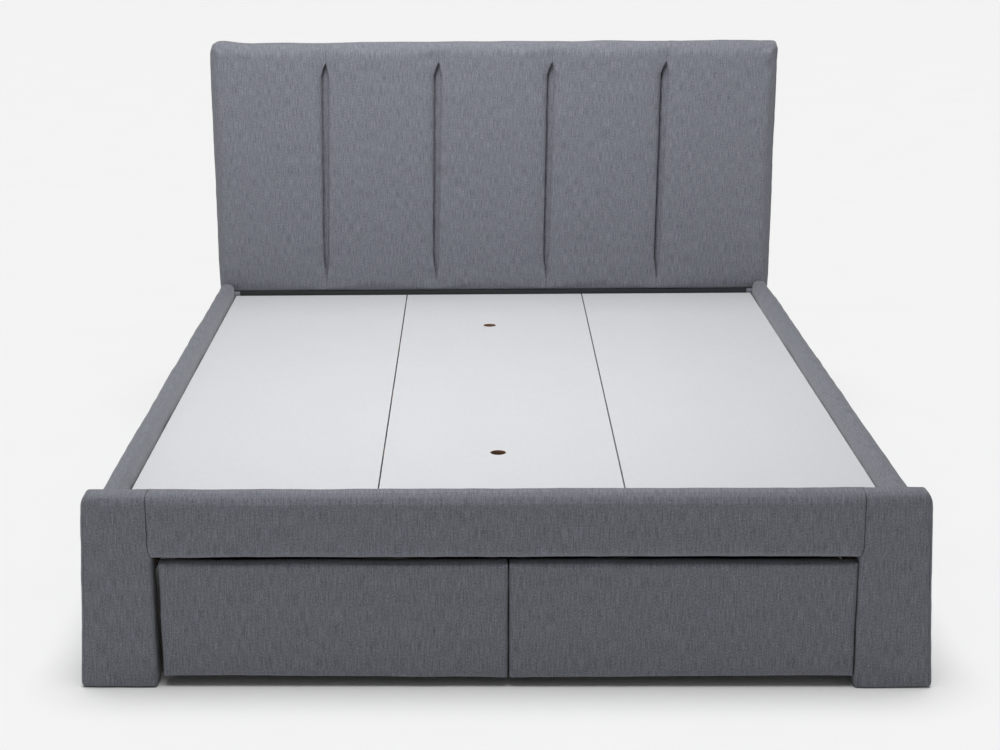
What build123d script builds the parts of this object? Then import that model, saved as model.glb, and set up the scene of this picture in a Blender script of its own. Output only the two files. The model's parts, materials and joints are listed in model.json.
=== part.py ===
from build123d import *
import os

# Platform bed with an upholstered headboard, side rails and foot surround, a loose
# three-panel deck, two castor drawers that pull out at the foot, and a storage space
# under the head half of the deck.
# Millimetres, +X to the right seen from the foot, +Y from the foot to the headboard, +Z up.
# The origin is the centre of the bed's footprint, on the floor.

# ---- Driving dimensions ----
mattress_width = 1530
mattress_length = 2030
mattress_clearance = 5

foot_width = 1676
foot_top_width = 1638
foot_depth = 60
foot_height = 400
opening_width = 1370
foot_rail_bottom = 272

headboard_width = 1640
headboard_depth = 90
headboard_height = 1064
headboard_pad_bottom = 334
headboard_leg_width = 63
channel_pitch = 328

rail_width = 46
rail_top = 362
rail_bottom = 25
rail_board_thickness = 18

deck_top = 323
deck_thickness = 15
deck_edge_gap = 3.5
deck_joint_gap = 3
finger_hole_diameter = 34

left_front_width = 681
right_front_width = 672.5
drawer_front_bottom = 19
drawer_front_top = 259.5
drawer_front_recess = 9
drawer_gap_left = 12.5
drawer_gap_middle = 3
drawer_box_length = 991
wheel_radius = 20
wheel_width = 16
tread_radius = 2.5

timber = 45
pad = 12
fit_gap = 0.5

# ---- Sizes worked out from them ----
well_width = mattress_width + 2 * mattress_clearance
well_length = mattress_length + 2 * mattress_clearance
overall_length = foot_depth + well_length + headboard_depth
foot_front = -overall_length / 2
foot_back = foot_front + foot_depth
head_front = foot_back + well_length
head_back = head_front + headboard_depth
opening_half = opening_width / 2
rail_inner = well_width / 2
rail_outer = rail_inner + rail_width
board_inner = rail_inner + pad
board_outer = board_inner + rail_board_thickness
deck_bottom = deck_top - deck_thickness

beam_height = 40
beam_width = 60
beam_bottom = deck_bottom - beam_height
beam_positions = [-985, -522, -60, 455, 968]
ledge_height = 20
ledge_width = 25
panel_thickness = 16
glide_height = 8
glide_radius = 14
glide_spread = 35
small_glide_radius = 7
partition_glide_x = 700
skirt_height = 1

left_front_low = -opening_half + drawer_gap_left
right_front_low = left_front_low + left_front_width + drawer_gap_middle
middle_x = right_front_low - drawer_gap_middle / 2
drawer_face = foot_front + drawer_front_recess


def front_plane(y):
    """An upright plane at this Y: sketches on it use X and Z, and extrude(-d) runs towards the head."""
    return Plane.XZ.offset(-y)


def side_plane(x):
    """An upright plane at this X: sketches on it use Y and Z, and extrude(d) runs towards +X."""
    return Plane.YZ.offset(x)


def span(low, high):
    """The middle and the size of an interval, whichever way round its ends are given."""
    return (low + high) / 2, abs(high - low)


above = (Align.CENTER, Align.CENTER, Align.MIN)
below = (Align.CENTER, Align.CENTER, Align.MAX)


def save(piece, label):
    """Label one finished piece and write its STEP file."""
    piece.part.label = label
    export_step(piece.part, f"parts/{label}.step")


def make_board(label, x_range, y_range, z_range):
    """A plain rectangular board or batten."""
    x_mid, x_size = span(*x_range)
    y_mid, y_size = span(*y_range)
    z_mid, z_size = span(*z_range)
    with BuildPart() as board:
        with BuildSketch(Plane.XY.offset(z_mid - z_size / 2)):
            with Locations((x_mid, y_mid)):
                Rectangle(x_size, y_size)
        extrude(amount=z_size)
    save(board, label)


# ---- Headboard ----
pad_foam_front = 34
face_board_thickness = 9
back_cloth_thickness = 1
leg_skin = 3
leg_corner_radius = 6
frame_front = head_front + pad_foam_front + fit_gap + face_board_thickness
frame_back = head_back - back_cloth_thickness - fit_gap
upright_inner = headboard_width / 2 - headboard_leg_width + leg_skin
upright_outer = headboard_width / 2 - pad
leg_front = head_front + leg_skin + 2 * fit_gap
pad_inner_bottom = headboard_pad_bottom + pad
pad_inner_top = headboard_height - pad
head_rail_height = 60
stud_offset = 270
channel_positions = [(index - 1.5) * channel_pitch for index in range(4)]
channel_groove_radius = 9
channel_end_low = headboard_pad_bottom + 45
channel_end_high = headboard_height - 30
pad_corner_radius = 32
pad_bottom_radius = 12
pad_edge_radius = 16


def make_headboard_upright(side, label):
    """A stepped upright: deep below the pad, where it is the leg, and shallower behind the pad."""
    x_mid, x_size = span(upright_inner, upright_outer)
    with BuildPart() as upright:
        with BuildSketch(side_plane(side * x_mid - x_size / 2)):
            with BuildLine():
                Polyline(
                    (leg_front, glide_height),
                    (frame_back, glide_height),
                    (frame_back, pad_inner_top - fit_gap),
                    (frame_front, pad_inner_top - fit_gap),
                    (frame_front, headboard_pad_bottom - 2 * fit_gap),
                    (leg_front, headboard_pad_bottom - 2 * fit_gap),
                    close=True,
                )
            make_face()
        extrude(amount=x_size)
        for z in bolt_heights:
            with Locations(Location((side * bolt_x_head, leg_front, z), (90, 0, 0))):
                Hole(bolt_hole_radius, depth=bolt_length)
    save(upright, label)


def make_headboard_upholstery():
    """The channelled pad: a thick front and thinner returns round the frame, open at the back."""
    x_size = headboard_width
    z_mid, z_size = span(headboard_pad_bottom, headboard_height)
    inner_mid, inner_size = span(pad_inner_bottom, pad_inner_top)
    slot_mid, slot_size = span(upright_inner - fit_gap, upright_outer + fit_gap)
    with BuildPart() as upholstery:
        with BuildSketch(front_plane(head_front)) as outline:
            with Locations((0, z_mid)):
                Rectangle(x_size, z_size)
            fillet(outline.vertices().group_by(Axis.Y)[-1], pad_corner_radius)
            fillet(outline.vertices().group_by(Axis.Y)[0], pad_bottom_radius)
        extrude(amount=-headboard_depth)
        fillet(upholstery.faces().sort_by(Axis.Y)[0].edges(), pad_edge_radius)
        with BuildSketch(front_plane(head_front + pad_foam_front)):
            with Locations((0, inner_mid)):
                Rectangle(x_size - 2 * pad, inner_size)
            with Locations((-slot_mid, pad_inner_bottom - pad), (slot_mid, pad_inner_bottom - pad)):
                Rectangle(slot_size, 2 * pad)
        extrude(amount=-headboard_depth, mode=Mode.SUBTRACT)
        with BuildSketch(Plane.XY.offset(channel_end_low)):
            with Locations(*[(x, head_front) for x in channel_positions]):
                Circle(channel_groove_radius)
        extrude(amount=channel_end_high - channel_end_low, mode=Mode.SUBTRACT)
    save(upholstery, "headboard_upholstery")


def make_headboard_leg_cover(side, label):
    """The fabric sleeve round the leg below the pad, drilled in front for the bracket bolts."""
    x_mid, x_size = span(headboard_width / 2 - headboard_leg_width, headboard_width / 2)
    y_mid, y_size = span(head_front + fit_gap, head_back)
    inner_x_mid, inner_x_size = span(upright_inner - fit_gap, upright_outer + fit_gap)
    inner_y_mid, inner_y_size = span(leg_front - fit_gap, frame_back + fit_gap)
    with BuildPart() as cover:
        with BuildSketch(Plane.XY.offset(skirt_height)) as outline:
            with Locations((side * x_mid, y_mid)):
                Rectangle(x_size, y_size)
            fillet(outline.vertices().group_by(Axis.X)[-1 if side > 0 else 0], leg_corner_radius)
            with Locations((side * inner_x_mid, inner_y_mid)):
                Rectangle(inner_x_size, inner_y_size, mode=Mode.SUBTRACT)
        extrude(amount=headboard_pad_bottom - fit_gap - skirt_height)
        for z in bolt_heights:
            with Locations(Location((side * bolt_x_head, head_front, z), (90, 0, 0))):
                Hole(bolt_hole_radius, depth=2 * leg_skin)
    save(cover, label)


# ---- Corner brackets and their bolts ----
bracket_thickness = 2.5
bracket_low = 120
bracket_high = 220
bracket_reach = 60
bolt_radius = 4
bolt_hole_radius = 4.1
bolt_length = 18
bolt_head_radius = 6.5
bolt_head_height = 4
bolt_heights = [145, 195]
bolt_edge = 12
bolt_x_head = board_inner - bolt_edge
bolt_x_foot = board_inner - 38
rail_bolt_reach = 38
head_bracket_face = head_front + fit_gap
bracket_ends = [(foot_back, 1, bolt_x_foot), (head_bracket_face, -1, bolt_x_head)]


def make_corner_brackets():
    """Four steel angles that hold the rail boards to the foot posts and the headboard legs."""
    with BuildPart() as brackets:
        for side in (-1, 1):
            for face, inward, bolt_x in bracket_ends:
                flange = board_inner - bolt_x + bolt_edge
                with BuildSketch(Plane.XY.offset(bracket_low)):
                    x_mid, x_size = span(side * board_inner, side * (board_inner - bracket_thickness))
                    y_mid, y_size = span(face, face + inward * bracket_reach)
                    with Locations((x_mid, y_mid)):
                        Rectangle(x_size, y_size)
                    x_mid, x_size = span(side * board_inner, side * (board_inner - flange))
                    y_mid, y_size = span(face, face + inward * bracket_thickness)
                    with Locations((x_mid, y_mid)):
                        Rectangle(x_size, y_size)
                extrude(amount=bracket_high - bracket_low)
        for bolt_place in bracket_bolt_places():
            with Locations(bolt_place):
                Hole(bolt_hole_radius, depth=bolt_head_height)
    save(brackets, "corner_brackets")


def bracket_bolt_places():
    """Where each bolt's head sits: local +Z points out of the head, away from the timber."""
    places = []
    for side in (-1, 1):
        for face, inward, bolt_x in bracket_ends:
            for z in bolt_heights:
                end_face = (side * bolt_x, face + inward * bracket_thickness, z)
                places.append(Location(end_face, (-90 * inward, 0, 0)))
                rail_face = (side * (board_inner - bracket_thickness), face + inward * rail_bolt_reach, z)
                places.append(Location(rail_face, (0, -90 * side, 0)))
    return places


def make_bracket_bolts():
    """Sixteen bolts, each a head and a shank, all separate solids."""
    with BuildPart() as bolts:
        for bolt_place in bracket_bolt_places():
            with Locations(bolt_place):
                Cylinder(bolt_head_radius, bolt_head_height, align=above)
                Cylinder(bolt_radius, bolt_length, align=below)
    save(bolts, "bracket_bolts")


# ---- Side rails ----
rail_y = (foot_back + fit_gap, head_front - fit_gap)
wrap_bottom = 318
rail_roll_radius = 22
board_low = rail_bottom + 5
board_high = rail_top - 16


def make_side_rail_board(side, label):
    """The rail's board, drilled on its inner face for the bracket bolts."""
    x_mid, x_size = span(side * board_inner, side * board_outer)
    y_mid, y_size = span(foot_back, head_front)
    with BuildPart() as board:
        with BuildSketch(Plane.XY.offset(board_low)):
            with Locations((x_mid, y_mid)):
                Rectangle(x_size, y_size)
        extrude(amount=board_high - board_low)
        for face, inward, bolt_x in bracket_ends:
            for z in bolt_heights:
                rail_face = (side * board_inner, face + inward * rail_bolt_reach, z)
                with Locations(Location(rail_face, (0, -90 * side, 0))):
                    Hole(bolt_hole_radius, depth=bolt_length - bracket_thickness)
    save(board, label)


def make_side_rail_cover(side, label):
    """The padded roll: down the outside, over the rounded top and a little way down the inside."""
    z_mid, z_size = span(rail_bottom, rail_top)
    x_mid, x_size = span(side * rail_inner, side * rail_outer)
    core_mid, core_size = span(side * (board_inner - fit_gap), side * (board_outer + fit_gap))
    below_mid, below_size = span(side * (rail_inner - 1), side * board_outer)
    with BuildPart() as cover:
        with BuildSketch(front_plane(rail_y[0])) as profile:
            with Locations((x_mid, z_mid)):
                Rectangle(x_size, z_size)
            fillet(profile.vertices().group_by(Axis.Y)[-1], rail_roll_radius)
            with Locations((core_mid, (board_low + board_high) / 2)):
                Rectangle(core_size, board_high - board_low + 2 * fit_gap, mode=Mode.SUBTRACT)
            with Locations((below_mid, wrap_bottom / 2)):
                Rectangle(below_size, wrap_bottom, mode=Mode.SUBTRACT)
        extrude(amount=-(rail_y[1] - rail_y[0]))
    save(cover, label)


# ---- Foot surround ----
foot_foam = 15
foot_back_skin = 2.5
post_corner_radius = 18
post_foot_radius = 10
foot_edge_radius = 5
foot_rail_top_radius = 10
core_front = foot_front + foot_foam + fit_gap
core_top = foot_height - foot_foam - fit_gap
post_core_back = foot_back - foot_back_skin - fit_gap
post_core_inner = opening_half + pad + 2 * fit_gap
post_core_outer = foot_top_width / 2 - pad - 2 * fit_gap
seam_x = opening_half + 6
seam_bend = foot_rail_bottom + 2 * pad
rail_core_back = foot_back - foot_foam - fit_gap
rail_core_bottom = foot_rail_bottom + foot_foam


def make_foot_post_core(side, label):
    """The timber inside the foot post, drilled on its back face for the bracket bolts."""
    x_mid, x_size = span(side * post_core_inner, side * post_core_outer)
    y_mid, y_size = span(core_front, post_core_back)
    with BuildPart() as core:
        with BuildSketch(Plane.XY.offset(glide_height)):
            with Locations((x_mid, y_mid)):
                Rectangle(x_size, y_size)
        extrude(amount=core_top - glide_height)
        for z in bolt_heights:
            with Locations(Location((side * bolt_x_foot, post_core_back, z), (-90, 0, 0))):
                Hole(bolt_hole_radius, depth=bolt_length)
    save(core, label)


def make_foot_post_cover(side, label):
    """The padded sleeve on the foot post, open below; low down, its seam to the rail cover bends in."""
    pocket_inner = post_core_inner - fit_gap
    pocket_mid, pocket_size = span(side * pocket_inner, side * (foot_top_width / 2 - pad))
    slot_mid, slot_size = span(side * (opening_half - pad), side * (pocket_inner + fit_gap))
    slot_z_mid, slot_z_size = span(rail_core_bottom - fit_gap, core_top + fit_gap)
    with BuildPart() as cover:
        with BuildSketch(front_plane(foot_front)) as outline:
            with BuildLine():
                Polyline(
                    (side * opening_half, skirt_height),
                    (side * foot_width / 2, skirt_height),
                    (side * foot_top_width / 2, foot_height),
                    (side * seam_x, foot_height),
                    (side * seam_x, seam_bend),
                    (side * opening_half, foot_rail_bottom),
                    close=True,
                )
            make_face()
            top_corners = outline.vertices().group_by(Axis.Y)[-1].sort_by(Axis.X)
            fillet(top_corners[-1 if side > 0 else 0], post_corner_radius)
            fillet(outline.vertices().group_by(Axis.Y)[0], post_foot_radius)
        extrude(amount=-foot_depth)
        fillet(cover.faces().sort_by(Axis.Y)[0].edges(), foot_edge_radius)
        with BuildSketch(front_plane(core_front - fit_gap)):
            with Locations((pocket_mid, core_top / 2)):
                Rectangle(pocket_size, core_top + 2 * fit_gap)
        extrude(amount=-(post_core_back - core_front + 2 * fit_gap), mode=Mode.SUBTRACT)
        with BuildSketch(front_plane(core_front - fit_gap)):
            with Locations((slot_mid, slot_z_mid)):
                Rectangle(slot_size, slot_z_size)
        extrude(amount=-(rail_core_back - core_front + 2 * fit_gap), mode=Mode.SUBTRACT)
        for z in bolt_heights:
            with Locations(Location((side * bolt_x_foot, foot_back, z), (-90, 0, 0))):
                Hole(bolt_hole_radius, depth=2 * foot_back_skin)
    save(cover, label)


def make_foot_rail_cover():
    """The padded sleeve round the foot rail's core, ending at the seams with the post covers."""
    top_half = seam_x - fit_gap
    bottom_half = opening_half - fit_gap
    core_y_mid, core_y_size = span(core_front - fit_gap, rail_core_back + fit_gap)
    core_z_mid, core_z_size = span(rail_core_bottom - fit_gap, core_top + fit_gap)
    with BuildPart() as cover:
        with BuildSketch(front_plane(foot_front)):
            with BuildLine():
                Polyline(
                    (-bottom_half, foot_rail_bottom),
                    (bottom_half, foot_rail_bottom),
                    (top_half, seam_bend),
                    (top_half, foot_height),
                    (-top_half, foot_height),
                    (-top_half, seam_bend),
                    close=True,
                )
            make_face()
        extrude(amount=-foot_depth)
        long_edges = cover.edges().filter_by(Axis.X).group_by(Axis.Z)
        fillet(long_edges[-1], foot_rail_top_radius)
        fillet(long_edges[0], foot_edge_radius)
        with BuildSketch(side_plane(-top_half)):
            with Locations((core_y_mid, core_z_mid)):
                Rectangle(core_y_size, core_z_size)
        extrude(amount=2 * top_half, mode=Mode.SUBTRACT)
    save(cover, "foot_rail_cover")


# ---- Support under the deck ----
leg_tube_radius = 19
leg_tube_wall = 2
leg_plate = 60
leg_plate_thickness = 3
leg_tube_bottom = 24
foot_disc_radius = 20
foot_disc_height = 10
foot_stud_radius = 5
leg_positions = beam_positions[3:]
partition_back = beam_positions[2] + panel_thickness / 2
partition_front = beam_positions[2] - panel_thickness / 2 - fit_gap


def make_centre_legs():
    """Two steel tubes with a top plate and a plugged lower end, under the rear beams."""
    with BuildPart() as legs:
        with BuildSketch(Plane.XY.offset(leg_tube_bottom)):
            with Locations(*[(0, y) for y in leg_positions]):
                Circle(leg_tube_radius)
                Circle(foot_stud_radius + seat_gap, mode=Mode.SUBTRACT)
        extrude(amount=leg_plate_thickness)
        with BuildSketch(Plane.XY.offset(leg_tube_bottom + leg_plate_thickness)):
            with Locations(*[(0, y) for y in leg_positions]):
                Circle(leg_tube_radius)
                Circle(leg_tube_radius - leg_tube_wall, mode=Mode.SUBTRACT)
        extrude(amount=beam_bottom - 2 * leg_plate_thickness - leg_tube_bottom)
        with BuildSketch(Plane.XY.offset(beam_bottom - leg_plate_thickness)):
            with Locations(*[(0, y) for y in leg_positions]):
                Rectangle(leg_plate, leg_plate)
        extrude(amount=leg_plate_thickness)
    save(legs, "centre_legs")


def make_centre_leg_feet():
    """The screw-in feet of the centre legs: a disc on a stud."""
    with BuildPart() as feet:
        with BuildSketch():
            with Locations(*[(0, y) for y in leg_positions]):
                Circle(foot_disc_radius)
        extrude(amount=foot_disc_height)
        with BuildSketch(Plane.XY.offset(foot_disc_height)):
            with Locations(*[(0, y) for y in leg_positions]):
                Circle(foot_stud_radius)
        extrude(amount=leg_tube_bottom + leg_plate_thickness)
    save(feet, "centre_leg_feet")


def glide_places():
    """Floor points of the round glides: two under each foot post and one under each headboard leg."""
    places = []
    post_x = (post_core_inner + post_core_outer) / 2
    leg_x = (upright_inner + upright_outer) / 2
    for side in (-1, 1):
        places.append((side * (post_x - glide_spread), (core_front + post_core_back) / 2))
        places.append((side * (post_x + glide_spread), (core_front + post_core_back) / 2))
        places.append((side * leg_x, (leg_front + frame_back) / 2))
    return places


def make_floor_glides():
    """Plastic glides under the posts and legs, and smaller ones under the divider and the partition."""
    under_partition = (partition_front + partition_back) / 2
    with BuildPart() as glides:
        with BuildSketch():
            with Locations(*glide_places()):
                Circle(glide_radius)
            with Locations((middle_x, beam_positions[0]), (middle_x, beam_positions[1])):
                Circle(small_glide_radius)
            with Locations((-partition_glide_x, under_partition), (partition_glide_x, under_partition)):
                Circle(small_glide_radius)
        extrude(amount=glide_height)
        chamfer(glides.faces().group_by(Axis.Z)[0].edges(), 1)
    save(glides, "floor_glides")


# ---- Deck ----
deck_y = (foot_back + mattress_clearance, head_front - mattress_clearance)
deck_half = rail_inner - deck_edge_gap
joint_left = -254
joint_right_foot = 253.5
joint_right_head = 266.5
finger_holes = [(-3, foot_front + 520), (-11, foot_front + 1703)]


def make_deck_panel(label, left_foot, left_head, right_foot, right_head, hole_places):
    """One loose deck panel, given the X of its two long edges at the foot and at the head."""
    with BuildPart() as panel:
        with BuildSketch(Plane.XY.offset(deck_bottom)):
            with BuildLine():
                Polyline(
                    (left_foot, deck_y[0]),
                    (right_foot, deck_y[0]),
                    (right_head, deck_y[1]),
                    (left_head, deck_y[1]),
                    close=True,
                )
            make_face()
            for place in hole_places:
                with Locations(place):
                    Circle(finger_hole_diameter / 2, mode=Mode.SUBTRACT)
        extrude(amount=deck_thickness)
    save(panel, label)


# ---- Drawers ----
front_cover_face = 10
front_cover_edge = 8
front_board_thickness = 16
front_corner_radius = 6
box_side_inset = 18
box_board = 15
box_floor_bottom = 46
box_floor_thickness = 8
box_top = 232
board_front = drawer_face + front_cover_face
box_front = board_front + front_board_thickness
box_back = box_front + drawer_box_length
castor_inset_x = 60
castor_inset_y = 90

fork_plate_length = 56
fork_plate_width = 36
fork_sheet = 2
ear_gap = wheel_width / 2 + 1.5
ear_width = 22
ear_bottom = 12
ear_corner_radius = 7
axle_radius = 3
axle_half_length = 14
castor_screw_radius = 2
castor_screw_length = 8
castor_screw_head_radius = 4
castor_screw_head_height = 2
castor_screw_spread = 21
running_gap = 0.05
seat_gap = 0.1


def make_drawer_front_board(low, width, label):
    """The board inside the padded drawer front."""
    make_board(
        label,
        (low + front_cover_edge, low + width - front_cover_edge),
        (board_front, box_front),
        (drawer_front_bottom + front_cover_edge, drawer_front_top - front_cover_edge),
    )


def make_drawer_front_cover(low, width, label):
    """The padded skin on the drawer front: a thick face and thinner edges, open behind."""
    x_mid, x_size = span(low, low + width)
    z_mid, z_size = span(drawer_front_bottom, drawer_front_top)
    rim = 2 * (front_cover_edge - fit_gap)
    with BuildPart() as cover:
        with BuildSketch(front_plane(drawer_face)):
            with Locations((x_mid, z_mid)):
                Rectangle(x_size, z_size)
        extrude(amount=-(front_cover_face + front_board_thickness))
        fillet(cover.edges().filter_by(Axis.Y), front_corner_radius)
        fillet(cover.faces().sort_by(Axis.Y)[0].edges(), front_corner_radius)
        with BuildSketch(front_plane(board_front - fit_gap)):
            with Locations((x_mid, z_mid)):
                Rectangle(x_size - rim, z_size - rim)
        extrude(amount=-width, mode=Mode.SUBTRACT)
    save(cover, label)


def castor_places(low, width):
    """The four wheel centres under one drawer, front pair first, the smaller X first."""
    x_low = low + box_side_inset + castor_inset_x
    x_high = low + width - box_side_inset - castor_inset_x
    y_front = box_front + castor_inset_y
    y_back = box_back - castor_inset_y
    return [(x_low, y_front), (x_high, y_front), (x_low, y_back), (x_high, y_back)]


def make_castor_frames(low, width, label):
    """Four fixed castor forks, each with its axle pin and two screws as separate solids."""
    plate_bottom = box_floor_bottom - fork_sheet
    with BuildPart() as frames:
        with BuildSketch(Plane.XY.offset(plate_bottom)):
            with Locations(*castor_places(low, width)):
                Rectangle(fork_plate_width, fork_plate_length)
        extrude(amount=fork_sheet)
        with BuildSketch(Plane.XY.offset(ear_bottom)):
            for x, y in castor_places(low, width):
                with Locations((x - ear_gap - fork_sheet / 2, y), (x + ear_gap + fork_sheet / 2, y)):
                    Rectangle(fork_sheet, ear_width)
        extrude(amount=plate_bottom - ear_bottom)
        lower_corners = frames.edges().filter_by(Axis.X).group_by(Axis.Z)[0]
        fillet(lower_corners, ear_corner_radius)
        for x, y in castor_places(low, width):
            with Locations(Location((x, y, wheel_radius), (0, 90, 0))):
                Hole(axle_radius + running_gap / 2, depth=2 * axle_half_length)
            for y_screw in (y - castor_screw_spread, y + castor_screw_spread):
                with Locations((x, y_screw, plate_bottom)):
                    Hole(castor_screw_radius + seat_gap, depth=fork_sheet)
                with Locations((x, y_screw, plate_bottom - seat_gap)):
                    Cylinder(castor_screw_radius, castor_screw_length, align=above)
                    Cylinder(castor_screw_head_radius, castor_screw_head_height, align=below)
            with Locations(Location((x, y, wheel_radius), (0, 90, 0))):
                Cylinder(axle_radius, 2 * axle_half_length)
    save(frames, label)


def make_wheel(place, label):
    """One castor wheel: a rounded tread with a hub bore that runs on the axle pin."""
    with BuildPart() as wheel:
        with BuildSketch(side_plane(place[0] - wheel_width / 2)):
            with Locations((place[1], wheel_radius)):
                Circle(wheel_radius)
                Circle(axle_radius + running_gap, mode=Mode.SUBTRACT)
        extrude(amount=wheel_width)
        rims = wheel.edges().filter_by(GeomType.CIRCLE).group_by(SortBy.RADIUS)[-1]
        fillet(rims, tread_radius)
    save(wheel, label)


def make_drawer(side_name, low, width, outer_first):
    """One drawer: padded front, four-sided box, castor frames and four wheels."""
    name = f"drawer_{side_name}"
    make_drawer_front_board(low, width, f"{name}_front_board")
    make_drawer_front_cover(low, width, f"{name}_front_cover")
    box_low = low + box_side_inset
    box_high = low + width - box_side_inset
    side_ends = [(box_low, box_low + box_board), (box_high - box_board, box_high)]
    side_names = ["outer", "inner"] if outer_first else ["inner", "outer"]
    for x_range, which in zip(side_ends, side_names):
        make_board(f"{name}_{which}_side", x_range, (box_front, box_back), (box_floor_bottom, box_top))
    inside = (box_low + box_board, box_high - box_board)
    above_floor = (box_floor_bottom + box_floor_thickness, box_top)
    make_board(f"{name}_back", inside, (box_back - box_board, box_back), above_floor)
    floor_top = box_floor_bottom + box_floor_thickness
    with BuildPart() as floor:
        x_mid, x_size = span(*inside)
        y_mid, y_size = span(box_front, box_back)
        with BuildSketch(Plane.XY.offset(box_floor_bottom)):
            with Locations((x_mid, y_mid)):
                Rectangle(x_size, y_size)
        extrude(amount=floor_top - box_floor_bottom)
        for x, y in castor_places(low, width):
            for y_screw in (y - castor_screw_spread, y + castor_screw_spread):
                with Locations(Location((x, y_screw, box_floor_bottom), (180, 0, 0))):
                    Hole(castor_screw_radius + seat_gap, depth=castor_screw_length - fork_sheet + fit_gap)
    save(floor, f"{name}_bottom")
    make_castor_frames(low, width, f"{name}_castor_frames")
    wheel_names = [f"{end}_{which}" for end in ("front", "back") for which in side_names]
    for place, which in zip(castor_places(low, width), wheel_names):
        make_wheel(place, f"{name}_wheel_{which}")


def make_headboard():
    """Frame, facing, pad, legs and backing."""
    for side, word in ((-1, "left"), (1, "right")):
        make_headboard_upright(side, f"headboard_upright_{word}")
        make_headboard_leg_cover(side, f"headboard_leg_cover_{word}")
    between = (-upright_inner, upright_inner)
    depth = (frame_front, frame_back)
    top_rail = (pad_inner_top - fit_gap - head_rail_height, pad_inner_top - fit_gap)
    bottom_rail = (pad_inner_bottom + fit_gap, pad_inner_bottom + fit_gap + head_rail_height)
    make_board("headboard_top_rail", between, depth, top_rail)
    make_board("headboard_bottom_rail", between, depth, bottom_rail)
    with BuildPart() as studs:
        y_mid, y_size = span(*depth)
        with BuildSketch(Plane.XY.offset(bottom_rail[1])):
            with Locations((-stud_offset, y_mid), (stud_offset, y_mid)):
                Rectangle(timber, y_size)
        extrude(amount=top_rail[0] - bottom_rail[1])
    save(studs, "headboard_studs")
    facing = (head_front + pad_foam_front + fit_gap, frame_front)
    facing_half = upright_outer
    facing_z = (pad_inner_bottom + fit_gap, pad_inner_top - fit_gap)
    make_board("headboard_face_board", (-facing_half, facing_half), facing, facing_z)
    make_headboard_upholstery()
    backing = (frame_back, frame_back + back_cloth_thickness)
    make_board("headboard_back_cover", (-facing_half, facing_half), backing, facing_z)
    panel_half = headboard_width / 2 - headboard_leg_width - fit_gap
    lower_panel_z = (board_low, headboard_pad_bottom - fit_gap)
    lower_panel_y = (leg_front, leg_front + panel_thickness)
    make_board("headboard_lower_panel", (-panel_half, panel_half), lower_panel_y, lower_panel_z)


def make_rails_and_foot():
    """Side rails with their ledges, and the foot surround."""
    for side, word in ((-1, "left"), (1, "right")):
        make_side_rail_board(side, f"side_rail_board_{word}")
        make_side_rail_cover(side, f"side_rail_cover_{word}")
        ledge_x = (side * (board_inner - ledge_width), side * board_inner)
        ledge_z = (beam_bottom - ledge_height, beam_bottom)
        make_board(f"deck_ledge_{word}", ledge_x, (foot_back, head_front), ledge_z)
        make_foot_post_core(side, f"foot_post_core_{word}")
        make_foot_post_cover(side, f"foot_post_cover_{word}")
    rail_x = (-post_core_inner, post_core_inner)
    make_board("foot_rail_core", rail_x, (core_front, rail_core_back), (rail_core_bottom, core_top))
    make_foot_rail_cover()
    make_corner_brackets()
    make_bracket_bolts()


def make_supports():
    """Cross beams, drawer divider, partition, centre legs and glides."""
    for number, y in enumerate(beam_positions, start=1):
        beam_y = (y - beam_width / 2, y + beam_width / 2)
        make_board(f"cross_beam_{number}", (-board_inner, board_inner), beam_y, (beam_bottom, deck_bottom))
    divider_x = (middle_x - panel_thickness / 2, middle_x + panel_thickness / 2)
    upright_z = (glide_height, beam_bottom)
    make_board("drawer_divider", divider_x, (foot_back + fit_gap, partition_front), upright_z)
    partition_half = board_inner - ledge_width
    make_board(
        "storage_partition",
        (-partition_half, partition_half),
        (partition_front, partition_back),
        upright_z,
    )
    make_centre_legs()
    make_centre_leg_feet()
    make_floor_glides()


def make_deck():
    """Three loose panels, the middle one with two finger holes."""
    half_gap = deck_joint_gap / 2
    left_edge = joint_left - half_gap
    make_deck_panel("deck_panel_left", -deck_half, -deck_half, left_edge, left_edge, [])
    make_deck_panel(
        "deck_panel_centre",
        joint_left + half_gap,
        joint_left + half_gap,
        joint_right_foot - half_gap,
        joint_right_head - half_gap,
        finger_holes,
    )
    make_deck_panel(
        "deck_panel_right",
        joint_right_foot + half_gap,
        joint_right_head + half_gap,
        deck_half,
        deck_half,
        [],
    )


os.makedirs("parts", exist_ok=True)
make_headboard()
make_rails_and_foot()
make_supports()
make_deck()
make_drawer("left", left_front_low, left_front_width, outer_first=True)
make_drawer("right", right_front_low, right_front_width, outer_first=False)
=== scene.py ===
import json
import math
import bpy
import numpy as np
from mathutils import Matrix, Vector


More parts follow.
